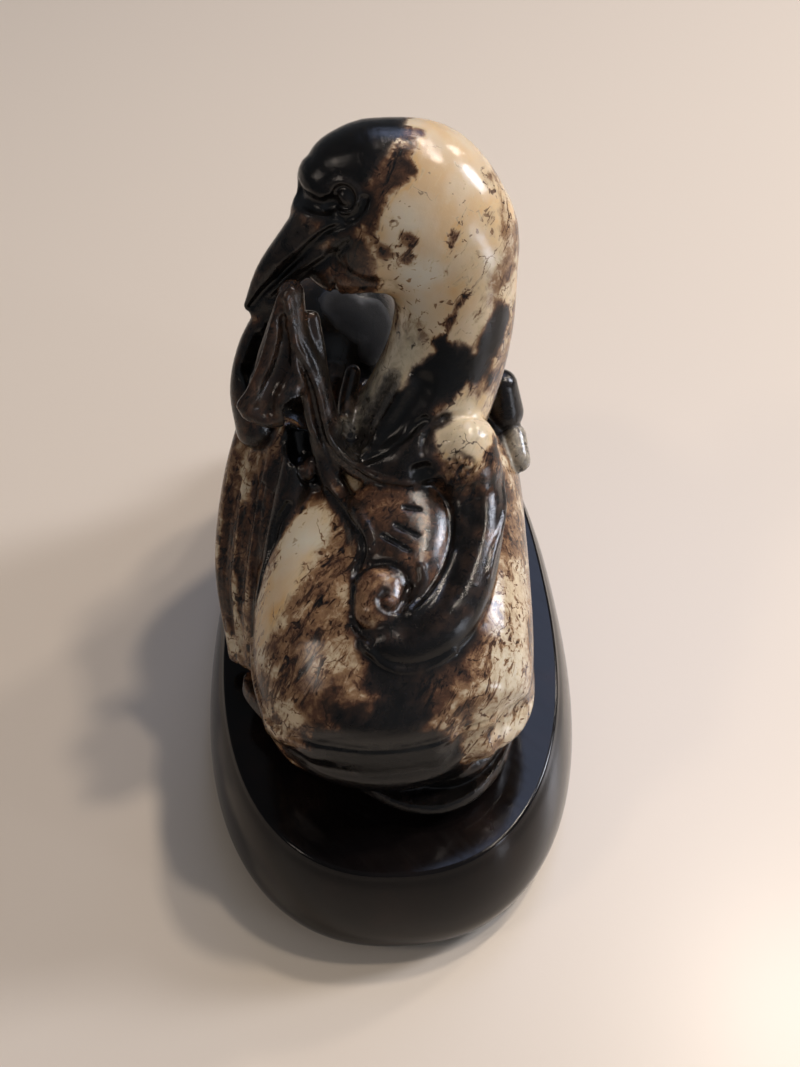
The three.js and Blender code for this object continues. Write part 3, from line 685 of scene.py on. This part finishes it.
# Where it is cream, brown and black, as the rough stone had it, and one patch of painted shade in the loop
# under the head. Each patch is how dark, how soft, how veined and how uneven it is, and then its paths of
# (x, y, z, radius). Later patches lie on top.
PATCHES = {
    # Painted shade: the stone inside the loop behind the neck is made black where it lies in shade; a tone
    # above 1 also leaves it unpolished.
    "loop_hollow_painted_shade": (1.3, 2.2, 0, 1, [
        (-5.7, 11.4, 53.4, 3), (-3.4, 9.6, 52, 3.4), (-1.4, 11.4, 51, 3.2), (-2.2, 8, 49.2, 2.6)]),
    "stem_root": (0.64, 0.6, 0.5, 1, [(-4.4, 1, 51.9, 1.6), (-5.2, -1.3, 49.6, 1.6), (-5.3, -4, 48.6, 1.4)]),
    "amber_neck": (0.09, 3, 0.45, 1, [(4.7, 1.1, 72, 3.6), (4.2, -0.6, 67.6, 3.6), (5.6, -1.8, 62.6, 2.4)]),
    "grey_neck": (0.26, 2, 0.05, 1, [(-0.6, -1.8, 53, 3.2), (1.6, -1.2, 56.6, 2.4)]),
    "neck_foot": (0.38, 2, 0, 1, [(-3.7, -5.1, 47.5, 3.4), (-2.1, -3.1, 50.4, 3)]),
    "upper_bead": (0.84, 0.6, 0, 1, [(13.8, 5.4, 43.8, 3), (14.2, 4.4, 41, 3.2)]),
    "lower_bead": (0.4, 0.6, 0, 1, [(15.2, 2.4, 38.6, 2), (15.6, 0.4, 37.2, 2)]),
    "dark_fold": (0.62, 1.4, 0, 1, [(-3.4, -6, 48, 2.6), (-1.6, -4.6, 51, 1.9), (-0.4, -3.4, 53.4, 1)]),
    "thin_streak": (0.9, 0.4, 0.9, 0.6, [
        (7.9, -1, 63.8, 0.1), (6.7, -1.9, 61.7, 0.35), (5.9, -2.6, 60, 0.3), (5.4, -3, 58.6, 1)]),
    "band_end": (0.9, 0.9, 0.6, 1, [(11.9, -0.4, 60, 1.4), (10.6, -2.2, 58, 1.5), (9.2, -3.6, 56, 1.4)]),
    "band": (1, 0.6, None, 1.2, [
        (7.4, -3.7, 57, 2), (5.6, -4.4, 55.4, 2.6), (3.8, -5.1, 53.7, 2.5), (1.3, -6.2, 51.1, 1.9),
        (-1.1, -7.9, 48.9, 1.3)]),
    "under_band": (0.62, 1.2, 0.9, 1, [(5.4, -6.4, 52, 1.4), (2.6, -7.2, 50.4, 1.4)]),
    "pale_crown": (0.08, 0.6, 0.3, 0.6, [
        (7, 9.6, 76, 4.8), (5.5, 6.5, 76.4, 4.8), (4.2, 4.2, 75, 4.8), (3, 2.6, 71, 4.4)]),
    "cap": (0.97, 0.5, 0.05, 0.7, [(-5.6, 7.2, 72.6, 5), (-3.6, 6.6, 74.8, 3.7), (-2.2, 9, 75.4, 4.5)]),
    "jaw": (0.58, 0.9, 0.8, 1, [(-4.8, 1.8, 70.4, 1.6), (-3.8, 0.8, 67.4, 2.2), (-2.6, 0.4, 65.2, 1.8)]),
    "cheek": (
        0.56, 0.6, 1, 1.5, [(-1.5, 2.5, 73.6, 1.2), (-1.8, 1.2, 71, 1.3), (-0.9, -0.2, 68.6, 0.9)],
        [(3, 7.4, 77.5, 0.5), (1.7, 5.4, 76.8, 0.9), (0, 3.4, 75.1, 1.4)],
        [(1.7, 0, 70.3, 0.5), (1.6, -0.7, 68, 0.7)], [(7, 1, 70.7, 0.25), (6.6, 0.4, 69.8, 0.3)]),
    "nape": (0.26, 0.7, 0.6, 1.3, [(11, 8, 74.6, 0.2), (12.6, 7.7, 72.3, 0.5), (12.8, 4.8, 69, 0.3)]),
    "tip": (0.19, 0.8, 0.18, 1, [(7.4, -7.4, 50, 3.6), (7.9, -9.4, 48, 3.2)]),
    "tip_foot": (0.54, 1.6, 0.9, 1, [(6.4, -11.8, 46.2, 2.4), (9.6, -11.8, 46.6, 2.2)]),
    "tip_speckles": (
        0.6, 0.5, 1, 1.5, [(10.6, -10, 48.6, 0.5), (9.4, -11.7, 47, 0.6), (10.8, -11.2, 46.2, 0.8)],
        [(4.6, -10.9, 45.1, 0.8), (6.8, -12, 45.2, 0.5)], [(4.6, -8.4, 49.8, 0.3), (5, -10, 48.2, 0.3)],
        [(11.2, -8.2, 49, 0.3), (11.5, -9.6, 47.6, 0.6)], [(7, -11, 48, 0.4), (8.2, -11.4, 47.6, 0.6)],
        [(5.2, -9.9, 48.4, 0.5), (6, -11, 47.4, 0.5)], [(9.2, -10.6, 48.2, 0.4), (10, -10, 48.6, 0.5)]),
    "beside_cords": (0.74, 1.2, 0.6, 1, [
        (-13.4, -7.2, 42.9, 2.2), (-11.3, -8.2, 43.6, 2.2), (-9, -8, 44.4, 1.6)]),
    "brown_on_left_lobe": (0.4, 1.6, 1.2, 1, [
        (-5.2, -16.8, 41.6, 1.1), (-7.8, -21.1, 39.7, 1.8), (-9.6, -25.5, 37.6, 2.2),
        (-11, -29.8, 34.8, 2.6)]),
    "right_lobe": (0.23, 1.6, 0.8, 1, [
        (13.5, -17, 36, 2.4), (12.6, -23, 36, 2.8), (10.8, -29, 32.4, 4), (8.8, -32, 28, 2.6)]),
    "comma_end": (0.98, 0.7, 0.2, 1, [
        (7.2, -27, 38.8, 1.2), (4.4, -29, 38, 1.8), (1, -29.8, 37.6, 2.2), (-2, -29.6, 37.6, 1.8)]),
    "left_lobe": (0.06, 1.6, 0.25, 1, [
        (-9.9, -12.7, 40.7, 2.4), (-12.3, -17.8, 38.2, 2.4), (-14.5, -22, 34.2, 2)]),
    "under_scroll": (0.85, 1.4, 0.3, 2, [
        (0.3, -31, 36.4, 2.6), (-0.6, -33.4, 33, 3.6), (-2.6, -34, 29, 5.4), (-4.5, -34, 25.5, 7.6)]),
    "lower_right": (0.9, 1.2, 0.2, 1.6, [(2, -35, 24, 4.4), (4.6, -36, 20, 4.6)]),
    "lower_left": (0.84, 1, 0.3, 1.4, [(-8, -31.4, 20.2, 3), (-12.6, -27.8, 19.4, 2)]),
    "dull_skin": (1.16, 2, 0.2, 1.6, [(-6.4, -35, 28.4, 2.6), (-1, -36, 28.6, 3.4), (3.4, -35.4, 27.4, 3)]),
    "right_of_scroll": (0.6, 1.3, 1.2, 1.4, [(3.4, -31.6, 35, 1.6), (6.2, -30.2, 36, 1.2)]),
}

for dark, soft, veined, uneven, *paths in PATCHES.values():
    for path in paths:
        stain(path, dark, soft, veined, uneven)
carve_head()
carve_neck()
carve_held_leaf()
carve_cords()
carve_scroll()
carve_hanging_wing()

# Meshes

MOST_TRIANGLES = 195000


def link_mesh(name, points, faces):
    mesh = bpy.data.meshes.new(name)
    mesh.from_pydata(points.tolist(), [], faces.tolist())
    mesh.validate()
    for polygon in mesh.polygons:
        polygon.use_smooth = True
    piece = bpy.data.objects.new(name, mesh)
    bpy.context.collection.objects.link(piece)
    return piece


def skin_stone():
    """The stone's surface as a mesh, with its tone and vein at every point."""
    saw_flat()
    grid = openvdb.FloatGrid(FAR)
    grid.transform = openvdb.createLinearTransform(VOXEL)
    grid.copyFromArray(gap)
    points, _, quads = grid.convertToPolygons(0, 0)
    stone = link_mesh("carved_goose", (points + STONE_LOW + [GOOSE_SHIFT, 0, 0]) * MM, quads[:, ::-1])
    count = 2 * len(quads)
    if count > MOST_TRIANGLES:
        thin = stone.modifiers.new("thin", "DECIMATE")
        thin.ratio = MOST_TRIANGLES / count
        bpy.context.view_layer.update()
        mesh = bpy.data.meshes.new_from_object(stone.evaluated_get(bpy.context.evaluated_depsgraph_get()))
        stone.modifiers.clear()
        stone.data = mesh
    mesh = stone.data
    flat = np.empty(3 * len(mesh.vertices), np.float32)
    mesh.vertices.foreach_get("co", flat)
    where = flat.reshape(-1, 3) / MM - [GOOSE_SHIFT, 0, 0]
    for name, field in (("tone", tone), ("vein", vein)):
        layer = mesh.attributes.new(name, "FLOAT", "POINT")
        layer.data.foreach_set("value", sample(field, where))
    return stone


goose = skin_stone()
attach(goose, "root")
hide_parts("jade_goose")

STAND_LENGTH, STAND_WIDTH, STAND_EGG, STAND_FULLNESS = 92, 47.8, 0.12, 2.35


def make_stand():
    """The egg-shaped block with a bulging side, a crisp rounded edge and a flat top."""
    bulge = np.array([(0, 3.2), (0.6, 1.9), (2.2, 0.6), (4.6, 0), (7.6, 0.2), (11, 0.9), (14, 1.9),
                      (15.3, 2.55)], float)  # height and inset
    steps = 36
    profile = [along(bulge, i / steps) for i in range(steps + 1)]
    edge_radius, edge_inset = 0.45, 3.1
    for degrees in np.arange(27.5, 91, 12.5):
        turn = math.radians(degrees)
        height = STAND_HEIGHT - edge_radius * (1 - math.sin(turn))
        profile.append((height, edge_inset - edge_radius * math.cos(turn)))
    profile += [(STAND_HEIGHT, inset) for inset in (3.2, 3.6, 6.0, 12.0)]
    sides = 192
    a = np.arange(sides) * 2 * np.pi / sides
    x, y = (np.sign(way) * np.abs(way) ** (2 / STAND_FULLNESS) for way in (np.cos(a), np.sin(a)))
    rings = [np.stack([(STAND_WIDTH / 2 - inset) * x * (1 - STAND_EGG * y), (STAND_LENGTH / 2 - inset) * y,
                       np.full_like(a, z)], 1) for z, inset in profile]
    points, quads = closed(rings)
    return link_mesh("dark_wood_stand", points * MM, quads)


stand = make_stand()
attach(stand, "root")
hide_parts("oval_stand")

# Materials


def linear(hex_colour):
    """An sRGB hex colour as linear RGBA."""
    channels = [int(hex_colour[i:i + 2], 16) / 255 for i in (1, 3, 5)]
    return (*[c / 12.92 if c <= 0.04045 else ((c + 0.055) / 1.055) ** 2.4 for c in channels], 1.0)


def node(tree, kind, inputs=None, stops=(), out=0, **settings):
    """Adds a node with its settings, its inputs' links and values, and a ramp's stops; gives one output."""
    made = tree.nodes.new(kind)
    for i, (place, colour) in enumerate(stops):
        elements = made.color_ramp.elements
        element = elements[i] if i < len(elements) else elements.new(1.0)
        element.position = place
        element.color = linear(colour)
    for name, value in settings.items():
        setattr(made, name, value)
    for socket, value in (inputs or {}).items():
        if isinstance(value, bpy.types.NodeSocket):
            tree.links.new(value, made.inputs[socket])
        else:
            made.inputs[socket].default_value = value
    return None if out is None else made.outputs[out]


def new_material(name):
    material = bpy.data.materials.new(name)
    material.use_nodes = True
    material.node_tree.nodes.clear()
    return material, material.node_tree


COORDINATES, MAPPING, ATTRIBUTE = "ShaderNodeTexCoord", "ShaderNodeMapping", "ShaderNodeAttribute"
NOISE, CELLS, BUMP = "ShaderNodeTexNoise", "ShaderNodeTexVoronoi", "ShaderNodeBump"
MATH, MIX, SPREAD, RAMP = "ShaderNodeMath", "ShaderNodeMix", "ShaderNodeMapRange", "ShaderNodeValToRGB"
STREAK = Vector((-0.5, -0.58, -0.65))  # the way that the brown veins of the rough stone run
CREAM, AMBER, ASH, TAN = "#cdc0a0", "#c39658", "#c9c2b2", "#8a6c4f"
RUST, UMBER, SOOT, BLACK = "#523828", "#2d211a", "#181412", "#0b0a09"
STONE_GREY, SLATE, CHARCOAL = "#958d7f", "#5c564d", "#302d2a"
COLOUR_A, COLOUR_B, MIXED = 6, 7, 2  # the colour sockets of a mix node


def per_mm(size_mm):
    """The scale of a pattern whose lumps are that many millimetres across."""
    return 1 / (size_mm * MM)


def blots(tree, vector, size_mm, low, high, detail, torn=0.5, twist=0.0):
    """Spots of noise of that size, which begin at the noise's low value and are full at its high one."""
    noise = node(tree, NOISE, {"Vector": vector, "Scale": per_mm(size_mm), "Detail": detail,
                               "Roughness": torn, "Distortion": twist})
    return node(tree, SPREAD, {"Value": noise, "From Min": low, "From Max": high},
                interpolation_type="SMOOTHSTEP")


def jade_darkness(tree, where, tone_at, vein_at):
    """How dark the jade is, with clouds, streaks, dashes, specks and cracks, and the noise of torn edges."""
    turn = STREAK.rotation_difference(Vector((0, 0, 1))).to_euler()
    turned = node(tree, MAPPING, {"Vector": where, "Rotation": turn})
    long_way = node(tree, MAPPING, {"Vector": turned, "Scale": (1, 1, 0.25)})

    # Clouds and torn edges shift the tone where it is neither cream nor black.
    clouds = node(tree, NOISE, {"Vector": where, "Scale": per_mm(5), "Detail": 5.0, "Roughness": 0.6})
    torn = node(tree, NOISE, {"Vector": where, "Scale": per_mm(1.3), "Detail": 7.0, "Roughness": 0.72,
                              "Distortion": 0.5})
    torn_share, least_in_black = 1.5, 0.42
    mean = (torn_share + 1) / 2
    uneven = node(tree, MATH, {0: torn, 1: torn_share, 2: clouds}, operation="MULTIPLY_ADD")
    uneven = node(tree, MATH, {0: uneven, 1: mean}, operation="SUBTRACT")
    middling = node(tree, MATH, {0: tone_at, 1: 0.5}, operation="PINGPONG")
    in_black = node(tree, MATH, {0: tone_at, 1: least_in_black}, operation="MULTIPLY")
    middling = node(tree, MATH, {0: middling, 1: in_black}, operation="MAXIMUM")
    total = node(tree, MATH, {0: uneven, 1: middling, 2: tone_at}, operation="MULTIPLY_ADD")

    # Streaks are rust-brown and run with the veins. Dashes are short, dark and fine. Specks lie in swarms.
    streaks = blots(tree, long_way, 1.5, 0.5, 0.68, detail=7.0, torn=0.72, twist=0.6)
    dashes = blots(tree, long_way, 0.75, 0.58, 0.66, detail=3.0, torn=0.6, twist=0.8)
    specks = blots(tree, where, 0.9, 0.61, 0.68, detail=2.0, twist=0.6)
    swarms = blots(tree, where, 7, 0.4, 0.56, detail=2.0)

    # Cracks are hairlines, here and there, stained brown.
    wobble = node(tree, NOISE, {"Vector": where, "Scale": per_mm(1.2), "Detail": 4.0}, out="Color")
    shaken = node(tree, MIX, {"Factor": 1.6 * MM, COLOUR_A: where, COLOUR_B: wobble}, data_type="RGBA",
                  blend_type="ADD", out=MIXED)
    cracks = node(tree, CELLS, {"Vector": shaken, "Scale": per_mm(6)}, feature="DISTANCE_TO_EDGE")
    cracks = node(tree, SPREAD, {"Value": cracks, "From Min": 0.002, "From Max": 0.012,
                                 "To Min": 1.0, "To Max": 0.0})
    broken = node(tree, NOISE, {"Vector": where, "Scale": per_mm(3), "Detail": 3.0})
    broken = node(tree, SPREAD, {"Value": broken, "From Min": 0.5, "From Max": 0.6})
    for marks, shown, darkening in ((streaks, vein_at, 0.38), (dashes, vein_at, 0.3),
                                    (specks, swarms, 0.24), (cracks, broken, 0.26)):
        marks = node(tree, MATH, {0: marks, 1: shown}, operation="MULTIPLY")
        total = node(tree, MATH, {0: marks, 1: darkening, 2: total}, operation="MULTIPLY_ADD")
    return total, torn


def jade_colour(tree, where, total, vein_at):
    """From cream, ash or amber where it is pale, through brown or grey, to black where it is dark."""
    brown = node(tree, RAMP, {"Fac": total}, stops=[
        (0.0, CREAM), (0.18, CREAM), (0.34, TAN), (0.48, RUST), (0.62, UMBER), (0.8, SOOT), (1.0, BLACK)])
    grey = node(tree, RAMP, {"Fac": total}, stops=[
        (0.0, CREAM), (0.2, CREAM), (0.34, STONE_GREY), (0.48, SLATE), (0.62, CHARCOAL), (0.8, SOOT),
        (1.0, BLACK)])
    brownness = node(tree, SPREAD, {"Value": vein_at, "From Min": 0.05, "From Max": 0.45})
    dark = node(tree, MIX, {"Factor": brownness, COLOUR_A: grey, COLOUR_B: brown}, data_type="RGBA",
                out=MIXED)
    warm = node(tree, NOISE, {"Vector": where, "Scale": per_mm(9), "Detail": 3.0})
    warm = node(tree, SPREAD, {"Value": warm, "From Min": 0.3, "From Max": 0.56})
    warm = node(tree, MATH, {0: warm, 1: brownness}, operation="MULTIPLY")
    beige = node(tree, SPREAD, {"Value": vein_at, "From Min": 0.5, "From Max": 0.65,
                                "To Min": 1.0, "To Max": 0.4})
    warm = node(tree, MATH, {0: warm, 1: beige}, operation="MULTIPLY")
    pale = node(tree, MIX, {"Factor": warm, COLOUR_A: linear(ASH), COLOUR_B: linear(AMBER)}, data_type="RGBA",
                out=MIXED)
    paleness = node(tree, SPREAD, {"Value": total, "From Min": 0.1, "From Max": 0.36,
                                   "To Min": 0.95, "To Max": 0.0}, interpolation_type="SMOOTHSTEP")
    return node(tree, MIX, {"Factor": paleness, COLOUR_A: dark, COLOUR_B: pale}, data_type="RGBA", out=MIXED)


def jade_polish(tree, where, total, tone_at, torn):
    """Roughness and relief: duller in patches and on the black skin, finely pitted, raw in deep hollows."""
    polish = node(tree, NOISE, {"Vector": where, "Scale": per_mm(0.6), "Detail": 4.0})
    dullness = node(tree, SPREAD, {"Value": total, "From Min": 0.15, "From Max": 0.9,
                                   "To Min": 0.02, "To Max": 0.09})
    patchiness = 0.14
    roughness = node(tree, MATH, {0: polish, 1: patchiness, 2: dullness}, operation="MULTIPLY_ADD")
    unpolished = node(tree, SPREAD, {"Value": tone_at, "From Min": 1.08, "From Max": 1.3,
                                     "To Min": 0.0, "To Max": 0.75})
    roughness = node(tree, MATH, {0: roughness, 1: unpolished}, operation="ADD")
    pits = node(tree, NOISE, {"Vector": where, "Scale": per_mm(0.5), "Detail": 5.0, "Roughness": 0.7})
    pitted = node(tree, BUMP, {"Height": pits, "Strength": 0.3, "Distance": 0.08 * MM})
    hewn = node(tree, MATH, {0: torn, 1: tone_at}, operation="MULTIPLY")
    pitted = node(tree, BUMP, {"Height": hewn, "Strength": 0.5, "Distance": 0.12 * MM, "Normal": pitted})
    return roughness, pitted


def jade():
    """River jade (nephrite) in three colours, carved, polished and waxed.

    Honey cream that lets a little light in, with brown specks and dashes, rusty streaks along the rough
    stone's veins, and a black skin. It has a wet shine with crisp highlights, but is dull deep in hollows.
    """
    material, tree = new_material("polished_black_and_cream_jade")
    where = node(tree, COORDINATES, out="Object")
    tone_at = node(tree, ATTRIBUTE, attribute_name="tone", out="Fac")
    vein_at = node(tree, ATTRIBUTE, attribute_name="vein", out="Fac")
    total, torn = jade_darkness(tree, where, tone_at, vein_at)
    colour = jade_colour(tree, where, total, vein_at)
    roughness, pitted = jade_polish(tree, where, total, tone_at, torn)
    shader = node(tree, "ShaderNodeBsdfPrincipled", {
        "Base Color": colour, "Roughness": roughness, "IOR": 1.61, "Specular IOR Level": 0.26,
        "Normal": pitted, "Subsurface Weight": 0.3, "Subsurface Radius": (1.0, 0.72, 0.4),
        "Subsurface Scale": 1.1 * MM})
    node(tree, "ShaderNodeOutputMaterial", {"Surface": shader}, out=None)
    return material


def dark_wood():
    """Blackwood, stained nearly black, brush-lacquered: a low brown glow, a soft shine, fine brush lines."""
    material, tree = new_material("lacquered_blackwood")
    where = node(tree, COORDINATES, out="Object")
    slanted = node(tree, MAPPING, {"Vector": where, "Rotation": (0, 0, math.radians(52))})
    drawn_out = node(tree, MAPPING, {"Vector": slanted, "Scale": (0.07, 1, 1)})
    lines = node(tree, NOISE, {"Vector": drawn_out, "Scale": per_mm(0.7), "Detail": 5.0, "Roughness": 0.7})
    grain = node(tree, NOISE, {"Vector": where, "Scale": per_mm(7), "Detail": 5.0})
    colour = node(tree, RAMP, {"Fac": grain}, stops=[(0.3, "#080606"), (0.55, "#0f0b0a"), (0.75, "#1c1310")])
    roughness = node(tree, SPREAD, {"Value": lines, "From Min": 0.35, "From Max": 0.7,
                                    "To Min": 0.08, "To Max": 0.2})
    brushed = node(tree, BUMP, {"Height": lines, "Strength": 0.25, "Distance": 0.03 * MM})
    shader = node(tree, "ShaderNodeBsdfPrincipled", {
        "Base Color": colour, "Roughness": roughness, "Normal": brushed, "Specular IOR Level": 0.21})
    node(tree, "ShaderNodeOutputMaterial", {"Surface": shader}, out=None)
    return material


goose.data.materials.clear()
goose.data.materials.append(jade())
stand.data.materials.append(dark_wood())

# Table and light


def make_table():
    """A smooth cream lacquered tabletop: a soft sheen, with the faintest unevenness in its finish."""
    reach = 3.0  # metres
    corners = np.array([(-reach, -reach, 0), (reach, -reach, 0), (reach, reach, 0), (-reach, reach, 0)])
    table = link_mesh("table", corners, np.array([(0, 1, 2, 3)]))
    material, tree = new_material("cream_lacquer_table")
    where = node(tree, COORDINATES, out="Object")
    fine = node(tree, NOISE, {"Vector": where, "Scale": per_mm(1.2), "Detail": 3.0})
    uneven = node(tree, BUMP, {"Height": fine, "Strength": 0.1, "Distance": 0.1 * MM})
    shader = node(tree, "ShaderNodeBsdfPrincipled", {
        "Base Color": linear("#d3c6b6"), "Roughness": 0.4, "Normal": uneven,
        "Coat Weight": 0.42, "Coat Roughness": 0.28})
    node(tree, "ShaderNodeOutputMaterial", {"Surface": shader}, out=None)
    table.data.materials.append(material)


def area_light(name, towards, distance_mm, size, power, colour):
    """A soft rectangular light, in the direction towards it from the goose."""
    lamp = bpy.data.lights.new(name, "AREA")
    lamp.shape = "RECTANGLE"
    lamp.size, lamp.size_y = size[0] * MM, size[1] * MM
    lamp.energy = power
    lamp.color = linear(colour)[:3]
    light = bpy.data.objects.new(name, lamp)
    middle = Vector((0, 0, STAND_HEIGHT))
    light.location = (middle + Vector(towards).normalized() * distance_mm) * MM
    light.rotation_euler = (-Vector(towards)).to_track_quat("-Z", "Y").to_euler()
    bpy.context.collection.objects.link(light)


ROOM_LIGHT_FROM = Vector((0.8, -0.4, 0.3))


def light_room():
    """A dim room: warm lamps to the right, above, behind and to the left, and cooler light from windows."""
    world = bpy.data.worlds.new("room")
    world.use_nodes = True
    tree = world.node_tree
    way = node(tree, COORDINATES, out="Generated")
    facing = node(tree, "ShaderNodeVectorMath", {0: way, 1: ROOM_LIGHT_FROM}, operation="DOT_PRODUCT",
                  out="Value")
    level = node(tree, SPREAD, {"Value": facing, "From Min": 0.0, "From Max": 0.9,
                                "To Min": 0.15, "To Max": 0.32}, interpolation_type="SMOOTHSTEP")
    sky = tree.nodes["Background"]
    sky.inputs["Color"].default_value = linear("#e4eaf4")
    tree.links.new(level, sky.inputs["Strength"])
    bpy.context.scene.world = world
    area_light("lamp_right", (0.41, 0.03, 0.91), 700, (40, 40), 1.0, "#fff1e2")
    area_light("lamp_above", (0.37, 0.25, 0.9), 700, (40, 40), 1.3, "#fff1e2")
    area_light("lamp_behind", (0.62, 0.47, 0.63), 700, (50, 50), 0.8, "#fff4ea")
    area_light("lamp_left", (-0.63, -0.29, 0.72), 700, (90, 60), 0.45, "#ffeede")
    area_light("side_window", (0.82, 0.19, 0.53), 640, (95, 190), 2.6, "#eef2ff")
    area_light("side_lamp", (0.86, -0.5, 0.15), 600, (45, 140), 0.46, "#eef3ff")
    area_light("far_window", (0.2, 0.54, 0.81), 2500, (800, 1000), 8.5, "#c6d6ff")
    bpy.context.scene.view_settings.view_transform = "Standard"


make_table()
light_room()
